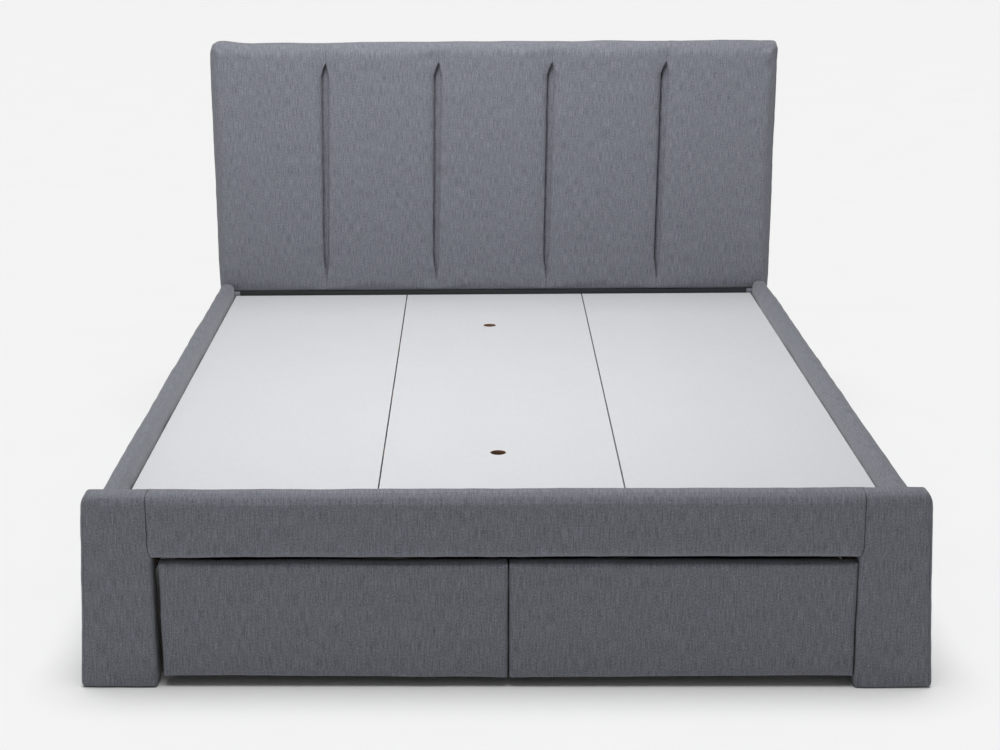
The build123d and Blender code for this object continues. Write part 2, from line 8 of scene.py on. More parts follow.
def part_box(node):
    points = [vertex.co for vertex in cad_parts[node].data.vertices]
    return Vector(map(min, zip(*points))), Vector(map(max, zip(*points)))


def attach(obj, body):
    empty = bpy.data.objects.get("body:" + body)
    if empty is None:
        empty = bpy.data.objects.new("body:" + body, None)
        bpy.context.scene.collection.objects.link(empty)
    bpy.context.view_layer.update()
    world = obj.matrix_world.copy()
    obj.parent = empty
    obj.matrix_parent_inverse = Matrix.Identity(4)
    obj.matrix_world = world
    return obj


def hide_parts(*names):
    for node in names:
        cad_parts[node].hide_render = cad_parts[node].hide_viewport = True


# The platform bed's looks: fabric covers over foam in place of the plain CAD ones, materials on
# the rest, and a pale studio. Metres, in the CAD frame: +X right, +Y to the headboard, +Z up.
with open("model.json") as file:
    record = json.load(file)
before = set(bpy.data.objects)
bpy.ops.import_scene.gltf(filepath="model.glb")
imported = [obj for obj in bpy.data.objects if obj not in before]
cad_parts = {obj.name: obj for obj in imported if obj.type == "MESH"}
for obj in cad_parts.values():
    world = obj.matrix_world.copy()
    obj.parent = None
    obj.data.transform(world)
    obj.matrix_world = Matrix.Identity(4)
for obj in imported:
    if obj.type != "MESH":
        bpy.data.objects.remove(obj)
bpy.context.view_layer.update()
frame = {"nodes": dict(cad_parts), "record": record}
scene = bpy.context.scene
MM = 0.001
FIT = 0.5 * MM    # the gap between a cover's hollow and the board inside it
PAST = 1.0        # how far a hollow runs past its block's side where it is open


# ---- Camera, floor and lights ----
def add_camera():
    """A long lens, a little left of the middle, looking down at the foot of the bed."""
    yaw, pitch, roll = -0.03497, 0.26344, -0.01401
    forward = Vector((math.sin(yaw) * math.cos(pitch), math.cos(yaw) * math.cos(pitch), -math.sin(pitch)))
    level = Vector((math.cos(yaw), -math.sin(yaw), 0))
    upright = level.cross(forward)
    right = level * math.cos(roll) + upright * math.sin(roll)
    up = upright * math.cos(roll) - level * math.sin(roll)
    data = bpy.data.cameras.new("camera")
    data.lens = 68.39
    data.shift_x = 0.0897
    camera = bpy.data.objects.new("camera", data)
    camera.matrix_world = Matrix.Translation((-0.0540, -4.5478, 1.5716)) @ Matrix(
        (right, up, -forward)
    ).transposed().to_4x4()
    scene.collection.objects.link(camera)
    scene.camera = camera


def add_lamp(name, kind, place, target, power, floor, floor_only=False, **settings):
    """A lamp aimed at a point, which lights either the floor alone or everything but the floor."""
    data = bpy.data.lights.new(name, kind)
    data.energy = power
    for key, value in settings.items():
        setattr(data, key, value)
    lamp = bpy.data.objects.new(name, data)
    lamp.location = place
    lamp.rotation_euler = (Vector(target) - Vector(place)).to_track_quat("-Z", "Y").to_euler()
    scene.collection.objects.link(lamp)
    lit = bpy.data.collections.new(name)
    lit.objects.link(floor)
    lit.collection_objects[0].light_linking.link_state = "INCLUDE" if floor_only else "EXCLUDE"
    lamp.light_linking.receiver_collection = lit


def add_studio(floor):
    """A dim surround that looks white, soft lamps over the bed and an even light on the floor."""
    world = bpy.data.worlds.new("studio")
    world.use_nodes = True
    background = world.node_tree.nodes["Background"]
    background.inputs["Color"].default_value = (1.0, 1.0, 1.0, 1.0)
    seen = world.node_tree.nodes.new("ShaderNodeLightPath")
    strength = world.node_tree.nodes.new("ShaderNodeMapRange")
    strength.inputs["To Min"].default_value = 0.19
    strength.inputs["To Max"].default_value = 0.9
    world.node_tree.links.new(seen.outputs["Is Camera Ray"], strength.inputs["Value"])
    world.node_tree.links.new(strength.outputs["Result"], background.inputs["Strength"])
    scene.world = world
    scene.view_settings.view_transform = "Standard"
    add_lamp(
        "lamp_over_bed", "AREA", place=(0, 0.8, 3.0), target=(0, 0.8, 0), power=33, floor=floor, size=2.0
    )
    add_lamp(
        "lamp_to_headboard", "AREA", place=(-0.3, -0.92, 2.9), target=(0, 1.0, 0.6), power=66, floor=floor,
        size=1.2,
    )
    add_lamp(
        "lamp_front_left", "AREA", place=(-2.3, -3.1, 1.6), target=(-0.6, -1.1, 0.2), power=9, floor=floor,
        size=1.4,
    )
    add_lamp(
        "lamp_over_floor", "SUN", place=(0, 0, 5), target=(0, 0, 0), power=2.74, floor=floor,
        floor_only=True, angle=math.radians(44),
    )


def add_floor(material):
    """One large pale floor, big enough to fill the view behind the bed."""
    half = 45.0
    mesh = bpy.data.meshes.new("studio_floor")
    corners = [(-half, -half, 0), (half, -half, 0), (half, half, 0), (-half, half, 0)]
    mesh.from_pydata(corners, [], [(0, 1, 2, 3)])
    mesh.materials.append(material)
    floor = bpy.data.objects.new("studio_floor", mesh)
    scene.collection.objects.link(floor)
    return floor


# ---- Material nodes ----
class Recipe:
    """A material in the making, with short calls for its nodes."""

    def __init__(self, name, roughness, **sockets):
        self.material = bpy.data.materials.new(name)
        self.material.use_nodes = True
        self.tree = self.material.node_tree
        self.shader = self.tree.nodes["Principled BSDF"]
        self.shader.inputs["Roughness"].default_value = roughness
        for socket, value in sockets.items():
            self.shader.inputs[socket.replace("_", " ").title().replace("Ior", "IOR")].default_value = value

    def add(self, kind, inputs, output=0, **settings):
        """Add one node, fill or link its inputs by name or number, and give back one output."""
        node = self.tree.nodes.new("ShaderNode" + kind)
        for key, value in settings.items():
            setattr(node, key, value)
        for key, value in inputs.items():
            if isinstance(value, bpy.types.NodeSocket):
                self.tree.links.new(value, node.inputs[key])
            else:
                node.inputs[key].default_value = value
        return node.outputs[output]

    def math(self, operation, first, second=0.0):
        return self.add("Math", {0: first, 1: second}, operation=operation)

    def place(self, stretch=(1.0, 1.0, 1.0), attribute=None):
        """The point's place in metres, or its place on the flat cloth, times a stretch by axis."""
        if attribute:
            vector = self.add("Attribute", {}, output="Vector", attribute_name=attribute)
        else:
            vector = self.add("TexCoord", {}, output="Object")
        return self.add("VectorMath", {0: vector, 1: stretch}, operation="MULTIPLY")

    def noise(self, vector, scale, detail=2.0, roughness=0.5):
        return self.add(
            "TexNoise", {"Vector": vector, "Scale": scale, "Detail": detail, "Roughness": roughness}
        )

    def spread(self, value, low, high, to_low=0.0, to_high=1.0):
        """Stretch the values from low to high over a new range."""
        inputs = {"Value": value, "From Min": low, "From Max": high, "To Min": to_low, "To Max": to_high}
        return self.add("MapRange", inputs)

    def mix(self, factor, first, second, blend="MIX"):
        inputs = {0: factor, 6: first, 7: second}
        return self.add("Mix", inputs, output=2, data_type="RGBA", blend_type=blend)

    def colour(self, value):
        self.tree.links.new(value, self.shader.inputs["Base Color"])

    def rough(self, value):
        self.tree.links.new(value, self.shader.inputs["Roughness"])

    def bump(self, height, distance, strength=1.0):
        """Add a layer of relief on top of any earlier one."""
        inputs = {"Height": height, "Distance": distance, "Strength": strength}
        normal = self.shader.inputs["Normal"]
        if normal.links:
            inputs["Normal"] = normal.links[0].from_socket
        self.tree.links.new(self.add("Bump", inputs), normal)


def rgb(red, green, blue):
    """An opaque colour, in linear light."""
    return (red, green, blue, 1.0)


def make_grey_fabric():
    """Blue-grey melange cloth: two tones of yarn, fine upright streaks and a soft nap."""
    recipe = Recipe("grey_fabric", 0.92, sheen_weight=0.18, sheen_roughness=0.55, specular_ior_level=0.25)
    flat = recipe.place(attribute="cloth")
    flecks = recipe.noise(flat, 300, detail=3, roughness=0.8)
    upright = recipe.noise(recipe.place((1, 0.07, 1), "cloth"), 420, detail=2)
    across = recipe.noise(recipe.place((0.12, 1, 1), "cloth"), 460, detail=2)
    clouds = recipe.noise(flat, 45, detail=2)
    tone = recipe.math("ADD", recipe.math("MULTIPLY", flecks, 0.56), recipe.math("MULTIPLY", upright, 0.30))
    tone = recipe.math("ADD", tone, recipe.math("MULTIPLY", across, 0.09))
    tone = recipe.math("ADD", tone, recipe.math("MULTIPLY", clouds, 0.05))
    yarns = recipe.mix(recipe.spread(tone, 0.38, 0.62), rgb(0.085, 0.090, 0.109), rgb(0.238, 0.247, 0.280))
    fibres = recipe.noise(flat, 2600, detail=2)
    recipe.colour(recipe.mix(0.18, yarns, recipe.add("ValToRGB", {"Fac": fibres}), blend="OVERLAY"))
    yarn = {"Vector": flat, "Scale": 95.0, "Distortion": 1.2, "Detail": 1.0, "Detail Scale": 3.0}
    warp = recipe.add("TexWave", yarn, output=1, bands_direction="X")
    weft = recipe.add("TexWave", yarn, output=1, bands_direction="Y")
    recipe.bump(recipe.math("MULTIPLY", warp, weft), 0.35 * MM, 0.5)
    recipe.bump(flecks, 0.9 * MM, 0.5)
    return recipe.material


def make_black_cloth():
    """Thin black non-woven cloth, with its pressed dots and stray fibres."""
    recipe = Recipe("black_cloth", 0.85, sheen_weight=0.1, specular_ior_level=0.3)
    dots = recipe.add("TexVoronoi", {"Vector": recipe.place(), "Scale": 420.0, "Randomness": 0.25})
    fibres = recipe.noise(recipe.place(), 700, detail=4)
    recipe.colour(recipe.mix(fibres, rgb(0.018, 0.018, 0.021), rgb(0.045, 0.045, 0.05)))
    recipe.bump(dots, 0.2 * MM, 0.6)
    return recipe.material


def make_white_laminate(hole_centres, hole_reach):
    """Satin white laminate, faintly mottled; the board shows brown in the finger holes."""
    recipe = Recipe("white_laminate", 0.5, specular_ior_level=0.35)
    mottle = recipe.noise(recipe.place((1, 0.4, 1)), 90, detail=3)
    dull, bright = rgb(0.600, 0.605, 0.622), rgb(0.612, 0.618, 0.635)
    white = recipe.mix(recipe.spread(mottle, 0.35, 0.65), dull, bright)
    core = recipe.noise(recipe.place(), 900, detail=3)
    brown = recipe.mix(core, rgb(0.10, 0.05, 0.025), rgb(0.26, 0.14, 0.075))
    spot = recipe.place()
    near = 0.0
    for centre in hole_centres:
        gap = recipe.add("VectorMath", {0: spot, 1: centre}, output="Value", operation="DISTANCE")
        near = recipe.math("MAXIMUM", recipe.math("LESS_THAN", gap, hole_reach), near)
    facing = recipe.add("SeparateXYZ", {0: recipe.add("NewGeometry", {}, output="True Normal")}, output="Z")
    side = recipe.math("LESS_THAN", recipe.math("ABSOLUTE", facing), 0.5)
    recipe.colour(recipe.mix(recipe.math("MULTIPLY", near, side), white, brown))
    recipe.rough(recipe.spread(recipe.noise(recipe.place(), 9, detail=3), 0.3, 0.7, 0.47, 0.54))
    recipe.bump(recipe.noise(recipe.place((1, 0.2, 1)), 500), 0.03 * MM, 0.4)
    return recipe.material


def make_wood(name, pale, dark, grain_stretch, rings, roughness):
    """Wood with grain along one axis: drawn-out rings, pores and a slight relief."""
    recipe = Recipe(name, roughness, specular_ior_level=0.35)
    vector = recipe.place(grain_stretch)
    bands = recipe.add("TexWave", {"Vector": vector, "Scale": rings, "Distortion": 9.0, "Detail": 3.0,
                                   "Detail Scale": 1.4}, output=1, bands_direction="DIAGONAL")
    pores = recipe.noise(vector, 260, detail=3, roughness=0.7)
    tone = recipe.math("ADD", recipe.math("MULTIPLY", bands, 0.55), recipe.math("MULTIPLY", pores, 0.45))
    recipe.colour(recipe.mix(recipe.spread(tone, 0.2, 0.85), dark, pale))
    recipe.rough(recipe.spread(pores, 0.3, 0.7, roughness - 0.06, roughness + 0.06))
    recipe.bump(pores, 0.15 * MM, 0.5)
    return recipe.material


def make_plastic(name, colour, roughness):
    """Moulded plastic with a fine spark texture and a little dust."""
    recipe = Recipe(name, roughness, specular_ior_level=0.45)
    dust = recipe.noise(recipe.place(), 60, detail=4)
    pale = tuple(min(1.0, channel * 1.7 + 0.01) for channel in colour[:3]) + (1.0,)
    recipe.colour(recipe.mix(recipe.spread(dust, 0.45, 0.8, 0.0, 0.5), colour, pale))
    recipe.rough(recipe.spread(dust, 0.3, 0.7, roughness - 0.05, roughness + 0.08))
    recipe.bump(recipe.noise(recipe.place(), 2500), 0.08 * MM, 0.4)
    return recipe.material


def make_metal(name, colour, metallic, roughness, bump_scale):
    """Plated or powder-coated steel with a faint mottle."""
    recipe = Recipe(name, roughness, metallic=metallic)
    mottle = recipe.noise(recipe.place(), 140, detail=4)
    dull = tuple(channel * 0.8 for channel in colour[:3]) + (1.0,)
    recipe.colour(recipe.mix(recipe.spread(mottle, 0.35, 0.65), dull, colour))
    recipe.rough(recipe.spread(mottle, 0.3, 0.7, roughness - 0.06, roughness + 0.08))
    recipe.bump(recipe.noise(recipe.place(), bump_scale), 0.05 * MM, 0.4)
    return recipe.material


def make_floor_material():
    """Matte pale studio floor."""
    recipe = Recipe("studio_floor", 0.9, specular_ior_level=0.1)
    paper = recipe.noise(recipe.place(), 3, detail=2)
    recipe.colour(recipe.mix(paper, rgb(0.85, 0.85, 0.85), rgb(0.87, 0.87, 0.87)))
    return recipe.material


# ---- Shaping cloth over foam ----
def grid_line(low, high, spacing, fine=(), through=()):
    """Coordinates from low to high, about spacing apart, closer in the fine zones
    (start, end, spacing), and through the given places."""
    ends = [edge for zone in fine for edge in zone[:2] if low < edge < high]
    marks = sorted({low, high, *through, *ends})
    line = [low]
    for start, end in zip(marks, marks[1:]):
        middle = (start + end) / 2
        step = min([spacing] + [zone[2] for zone in fine if zone[0] < middle < zone[1]])
        line.extend(np.linspace(start, end, max(1, round((end - start) / step)) + 1)[1:])
    return np.array(line)


def both_ends(low, high, reach, spacing):
    """The fine zones at the two ends of a line."""
    return [(low, low + reach, spacing), (high - reach, high, spacing)]


def grid_skin(lines, hollows):
    """The skin of a block of grid cells, less those in the hollow boxes, as points and quads."""
    middles = [(line[:-1] + line[1:]) / 2 for line in lines]
    solid = np.ones([len(middle) for middle in middles], bool)
    for low, high in hollows:
        inside = [(middle > a) & (middle < b) for middle, a, b in zip(middles, low, high)]
        solid &= ~(inside[0][:, None, None] & inside[1][None, :, None] & inside[2][None, None, :])
    counts = [len(line) for line in lines]
    numbers = np.arange(np.prod(counts)).reshape(counts)
    steps = (counts[1] * counts[2], counts[2], 1)
    quads = []
    for axis in range(3):
        ringed = np.pad(solid, [(1, 1) if a == axis else (0, 0) for a in range(3)])
        below = np.take(ringed, range(counts[axis]), axis)
        above = np.take(ringed, range(1, counts[axis] + 1), axis)
        corners = numbers[tuple(slice(None) if a == axis else slice(-1) for a in range(3))]
        second, third = steps[(axis + 1) % 3], steps[(axis + 2) % 3]
        for faces, turn in ((below & ~above, 1), (~below & above, -1)):
            first = corners[faces]
            around = [first, first + second, first + second + third, first + third]
            quads.append(np.stack(around[::turn], axis=1))
    used, quads = np.unique(np.concatenate(quads), return_inverse=True)
    places = np.unravel_index(used, counts)
    points = np.stack([line[place] for line, place in zip(lines, places)], axis=1)
    return points, quads.reshape(-1, 4)


def smooth(value):
    """An even rise from 0 to 1 as the value goes from 0 to 1."""
    value = np.clip(value, 0, 1)
    return value * value * (3 - 2 * value)


def bell(distance, width):
    """A soft bump of height 1 at no distance, about twice this wide."""
    return np.exp(-((distance / width) ** 2))


def hills(points, size, seed, count=14):
    """Soft seeded hills and hollows, about this far across, mostly from -1 to 1."""
    rng = np.random.default_rng(seed)
    ways = rng.normal(size=(count, 3))
    rates = 2 * math.pi / size * rng.uniform(0.5, 1.3, (count, 1))
    ways *= rates / np.linalg.norm(ways, axis=1, keepdims=True)
    return np.sin(points @ ways.T + rng.uniform(0, 2 * math.pi, count)).sum(axis=1) / math.sqrt(count)


class Cover:
    """A padded cover in the making: a block's skin whose points are then moved about."""

    def __init__(self, lines, hollows=()):
        self.rest, self.quads = grid_skin(lines, hollows)
        self.points = self.rest.copy()
        self.low = self.rest.min(axis=0)
        self.high = self.rest.max(axis=0)
        tight = 1e-6
        self.on_low = self.rest < self.low + tight
        self.on_high = self.rest > self.high - tight
        self.outer = (self.on_low | self.on_high).any(axis=1)

    def round_edges(self, low_radius, high_radius):
        """Round the block's outer edges to these radii, by axis and side."""
        low_radius = np.broadcast_to(low_radius, self.rest.shape)
        high_radius = np.broadcast_to(high_radius, self.rest.shape)
        near = np.clip(self.rest, self.low + low_radius, self.high - high_radius)
        gap = self.rest - near
        radius = np.where(gap < 0, low_radius, high_radius)
        unit = gap / radius
        reach = np.abs(unit).max(axis=1, keepdims=True)
        length = np.maximum(np.linalg.norm(unit, axis=1, keepdims=True), 1e-9)
        rounded = near + unit * radius * reach / length
        self.points[self.outer] = rounded[self.outer]

    def cloth_place(self):
        """Where each point is on the flat cloth: the front face, folded out round its edges."""
        depth = self.rest[:, 1] - self.low[1]
        flat = np.zeros_like(self.rest)
        flat[:, 0] = self.rest[:, 0] + depth * (1.0 * self.on_high[:, 0] - self.on_low[:, 0])
        flat[:, 1] = self.rest[:, 2] + depth * (1.0 * self.on_high[:, 2] - self.on_low[:, 2])
        flat[:, 2] = self.on_high[:, 1]
        return flat

    def to_object(self, name, material):
        """The Blender piece, smooth, with its cloth places as a point attribute."""
        mesh = bpy.data.meshes.new(name)
        mesh.from_pydata(self.points.tolist(), [], self.quads.tolist())
        mesh.materials.append(material)
        mesh.shade_smooth()
        cloth = mesh.attributes.new("cloth", "FLOAT_VECTOR", "POINT")
        cloth.data.foreach_set("vector", self.cloth_place().ravel())
        self.piece = bpy.data.objects.new(name, mesh)
        scene.collection.objects.link(self.piece)
        return self.piece

    def put_points(self):
        """Write the moved points back to the piece's mesh."""
        self.piece.data.vertices.foreach_set("co", self.points.ravel())
        self.piece.data.update()

    def swell(self, held, pressure, most, frames=8):
        """Let the cover fill as cloth under pressure, and move each point along its normal by
        as much as the cloth moved that way, but no further than most."""
        group = self.piece.vertex_groups.new(name="held")
        group.add(np.flatnonzero(held).tolist(), 1.0, "REPLACE")
        modifier = self.piece.modifiers.new("swelling", "CLOTH")
        modifier.settings.vertex_group_mass = group.name
        modifier.settings.quality = 4
        modifier.settings.mass = 0.3
        modifier.settings.use_pressure = True
        modifier.settings.uniform_pressure_force = pressure
        modifier.settings.effector_weights.gravity = 0
        modifier.point_cache.frame_end = frames
        for number in range(1, frames + 1):
            scene.frame_set(number)
        filled = self.piece.evaluated_get(bpy.context.evaluated_depsgraph_get()).data
        places = np.zeros(len(filled.vertices) * 3)
        filled.vertices.foreach_get("co", places)
        normals = self.normals()
        out = np.nan_to_num(((places.reshape(-1, 3) - self.points) * normals).sum(axis=1, keepdims=True))
        self.points += normals * most * np.tanh(out / most)
        self.piece.modifiers.remove(modifier)
        self.piece.vertex_groups.remove(group)
        scene.frame_set(1)
        self.put_points()

    def normals(self):
        """The mesh's normal at each point."""
        normals = np.zeros(len(self.points) * 3)
        self.piece.data.vertex_normals.foreach_get("vector", normals)
        return normals.reshape(-1, 3)

    def push(self, amount):
        """Move the outer points along their normals by this much, in metres."""
        self.points += self.normals() * (amount * self.outer)[:, None]
        self.put_points()


def finish_cover(cover, node, body):
    """Put the piece in place of its CAD node."""
    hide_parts(node)
    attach(cover.piece, body)


# ---- The covers ----
def make_headboard_pad(material):
    """The channelled headboard pad, with a sewn pinch between each pair of channels."""
    low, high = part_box("headboard_upholstery")
    board_low, board_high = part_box("headboard_face_board")
    channels = 5
    pitch = (high.x - low.x) / channels
    seams = [low.x + pitch * number for number in range(1, channels)]
    pocket_low = (board_low.x, board_low.y - FIT, board_low.z - FIT)
    pocket_high = (board_high.x, high.y + PAST, board_high.z + FIT)
    hollows = [(pocket_low, pocket_high)]
    leg_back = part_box("headboard_upright_left")[1].y + FIT
    slot_ends = []
    for side in ("left", "right"):
        leg_low, leg_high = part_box(f"headboard_upright_{side}")
        start, end = leg_low.x - FIT, leg_high.x + FIT
        slot_ends += [start, end]
        hollows.append(((start, pocket_low[1], low.z - PAST), (end, leg_back, pocket_low[2])))
    soft_edge = 30 * MM
    fine_x = [(seam - 9 * MM, seam + 22 * MM, 1.3 * MM) for seam in seams]
    fine_x += both_ends(low.x, high.x, soft_edge, 4 * MM)
    fine_y = [(low.y, low.y + 27 * MM, 2.7 * MM), (high.y - 14 * MM, high.y, 2.8 * MM)]
    fine_z = [(low.z, low.z + soft_edge, 4 * MM), (high.z - 60 * MM, high.z, 3 * MM)]
    lines = [
        grid_line(low.x, high.x, 10 * MM, fine_x, slot_ends + [pocket_low[0], pocket_high[0]]),
        grid_line(low.y, high.y, 14 * MM, fine_y, [pocket_low[1], leg_back]),
        grid_line(low.z, high.z, 8 * MM, fine_z, [pocket_low[2], pocket_high[2]]),
    ]
    cover = Cover(lines, hollows)
    x, y, z = cover.rest.T
    to_top = smooth((z - high.z + 90 * MM) / (60 * MM))
    front_radius = 16 * MM + 9 * MM * to_top
    back_radius = 0.6 * MM + 3.4 * MM * smooth((z - low.z - 14 * MM) / (10 * MM)) + 10 * MM * to_top
    top_radius = 24 * MM - 19 * MM * smooth((y - low.y - 25 * MM) / (45 * MM))
    side_radius = np.full(len(x), 20 * MM)
    bottom_radius = np.full(len(x), 6 * MM)
    cover.round_edges(
        np.stack([side_radius, front_radius, bottom_radius], axis=1),
        np.stack([side_radius, back_radius, top_radius], axis=1),
    )
    frontness = smooth(1 - (y - low.y) / (22 * MM)) * cover.outer
    cover.points[:, 1] += 3 * MM * frontness
    cover.to_object("headboard_pad", material)
    from_seam = np.min([np.abs(x - seam) for seam in seams], axis=0)
    held = ~cover.outer | cover.on_high[:, 1] | cover.on_low[:, 2] | (from_seam < 9 * MM)
    cover.swell(held, pressure=3.0, most=4 * MM)
    uneven = 0.7 * MM * hills(cover.rest, size=0.16, seed=3)
    uneven += 0.25 * MM * hills(cover.rest, size=0.04, seed=4)
    cover.push(uneven * ~(cover.on_low[:, 2] | cover.on_high[:, 1]))
    seat = cover.on_low[:, 2] & (y > low.y + 12 * MM)
    cover.points[seat, 2] = low.z - 0.8 * FIT

    # The pinch's section, from the channel on its left to the one on its right: a narrow deep
    # slit, a sunk strip and a step up. It closes to a plain seam near the pad's top and bottom.
    section_x = np.array([-13, -7, -4.8, -3.8, -0.4, 0.9, 12, 13.5, 17, 28]) * MM
    section_depth = np.array([0, 1.5, 12, 30, 30.5, 19, 16, 0, -2.5, 0]) * MM
    middle = 6 * MM
    height = (z - low.z) / (high.z - low.z)
    width = np.clip((high.z - 53 * MM - z) / (42 * MM), 0, 1)
    width *= np.clip((z - low.z - 26 * MM) / (75 * MM), 0, 1)
    width *= 0.85 + 0.5 * height
    depth = np.zeros(len(x))
    undercut = np.zeros(len(x))
    for seam in seams:
        across = x - seam - middle
        opened = np.interp(across / np.maximum(width, 0.02) + middle, section_x, section_depth)
        opened *= np.minimum(1, 1.6 * np.sqrt(width))
        depth += opened + 2.6 * MM * bell(across, 1.3 * MM) * np.clip(1 - width, 0, 1)
        undercut += 5 * MM * smooth((opened - 18 * MM) / (10 * MM)) * (np.abs(across) < 30 * MM)
        depth += 2.5 * MM * bell(across, 32 * MM) * width
    cover.points[:, 1] += depth * frontness
    cover.points[:, 0] -= undercut * frontness
    # The top edge stands up at its left corner and falls a little towards the right one.
    rise = 9 * MM * bell(x - low.x - 32 * MM, 38 * MM) - 5.5 * MM * smooth((x + 0.3) / 1.0)
    cover.points[:, 2] += rise * to_top * cover.outer
    # Its right side flares near the top, and its left side is drawn in.
    flare = smooth((z - high.z + 60 * MM) / (50 * MM)) * (x > high.x - 25 * MM)
    drawn_in = smooth((low.x + 30 * MM - x) / (30 * MM))
    cover.points[:, 0] += 4 * MM * (flare + drawn_in) * cover.outer
    # The seams lean a little, and the pad is a little wider at the top.
    lean, plumb_height, widening = 16 * MM, 0.56, 0.0045
    inwards = smooth((high.x - np.abs(x)) / (120 * MM))
    leaning = cover.outer & ~cover.on_high[:, 1]
    cover.points[:, 0] += lean * (height - plumb_height) * inwards * leaning
    cover.points[:, 0] *= 1 + np.where(cover.outer, widening * height, 0)
    cover.put_points()
    finish_cover(cover, "headboard_upholstery", "frame")


def make_leg_cover(side, material):
    """The thin cover round a headboard leg."""
    node = f"headboard_leg_cover_{side}"
    low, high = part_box(node)
    leg_low, leg_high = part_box(f"headboard_upright_{side}")
    leg_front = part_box("headboard_lower_panel")[0].y
    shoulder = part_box("headboard_face_board")[1].y
    start, end, back = leg_low.x - FIT, leg_high.x + FIT, leg_high.y + FIT
    # The leg runs on up behind its shoulder; in front of that the cover's top is closed.
    tunnel = ((start, leg_front - FIT, low.z - PAST), (end, back, high.z - 0.8 * FIT))
    mouth = ((start, shoulder - FIT, low.z - PAST), (end, back, high.z + PAST))
    edge = 6 * MM
    lines = []
    for axis in (0, 1):
        fine = both_ends(low[axis], high[axis], edge, 2 * MM)
        lines.append(grid_line(low[axis], high[axis], 8 * MM, fine, [tunnel[0][axis], tunnel[1][axis]]))
    lines[1] = np.union1d(lines[1], [mouth[0][1]])
    lines.append(grid_line(low.z, high.z, 10 * MM, [(low.z, low.z + edge, 2 * MM)], [tunnel[1][2]]))
    cover = Cover(lines, [tunnel, mouth])
    cover.round_edges(low_radius=(5 * MM, 5 * MM, 2 * MM), high_radius=(5 * MM, 5 * MM, 0.3 * MM))
    cover.to_object(f"leg_cover_{side}", material)
    cover.push(0.5 * MM * hills(cover.rest, size=0.08, seed=11) * ~cover.on_high[:, 2])
    finish_cover(cover, node, "frame")


def make_rail_roll(side, sign, material):
    """The padded roll on a side rail: a soft rounded top, closed ends and a turned-in lower edge."""
    node = f"side_rail_cover_{side}"
    low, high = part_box(node)
    board_low, board_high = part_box(f"side_rail_board_{side}")
    inner = low.x if sign > 0 else high.x
    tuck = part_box("deck_panel_centre")[0].z + 1.5 * MM
    skin = 12 * MM
    slot = (
        (board_low.x - FIT, low.y + skin, board_low.z - FIT),
        (board_high.x + FIT, high.y - skin, board_high.z + FIT),
    )
    # Below the tuck, the roll's inner skin is left out: the board's face is bare there.
    bare_x = sorted((inner - sign * PAST, sign * (abs(inner) + 13 * MM)))
    below = ((bare_x[0], low.y - PAST, low.z - PAST), (bare_x[1], high.y + PAST, tuck))
    fine_z = [(tuck, high.z, 3 * MM), (low.z, low.z + 6 * MM, 2 * MM)]
    lines = [
        grid_line(low.x, high.x, 2.6 * MM, [], [slot[0][0], slot[1][0], sign * (abs(inner) + skin)]),
        grid_line(low.y, high.y, 11 * MM, both_ends(low.y, high.y, 20 * MM, 3.3 * MM)),
        grid_line(low.z, high.z, 14 * MM, fine_z, [slot[0][2], slot[1][2]]),
    ]
    cover = Cover(lines, [slot, below])
    cover.round_edges(low_radius=(19 * MM, 14 * MM, 5 * MM), high_radius=(19 * MM, 8 * MM, 20 * MM))
    cover.to_object(f"rail_roll_{side}", material)
    inward = (cover.rest[:, 0] - inner) * sign
    held = ~cover.outer | (cover.rest[:, 2] < tuck + 2 * MM) & (inward < 20 * MM) | cover.on_low[:, 2]
    cover.swell(held, pressure=2.0, most=2.5 * MM)
    uneven = 1.1 * MM * hills(cover.rest * (1, 1, 0.5), size=0.30, seed=21 + sign)
    uneven += 0.5 * MM * hills(cover.rest, size=0.09, seed=23 + sign)
    cover.push(uneven - 0.6 * MM)
    finish_cover(cover, node, "frame")


# The height over which the seam between a foot post and the rail curves, above the opening.
CURVE = 24 * MM


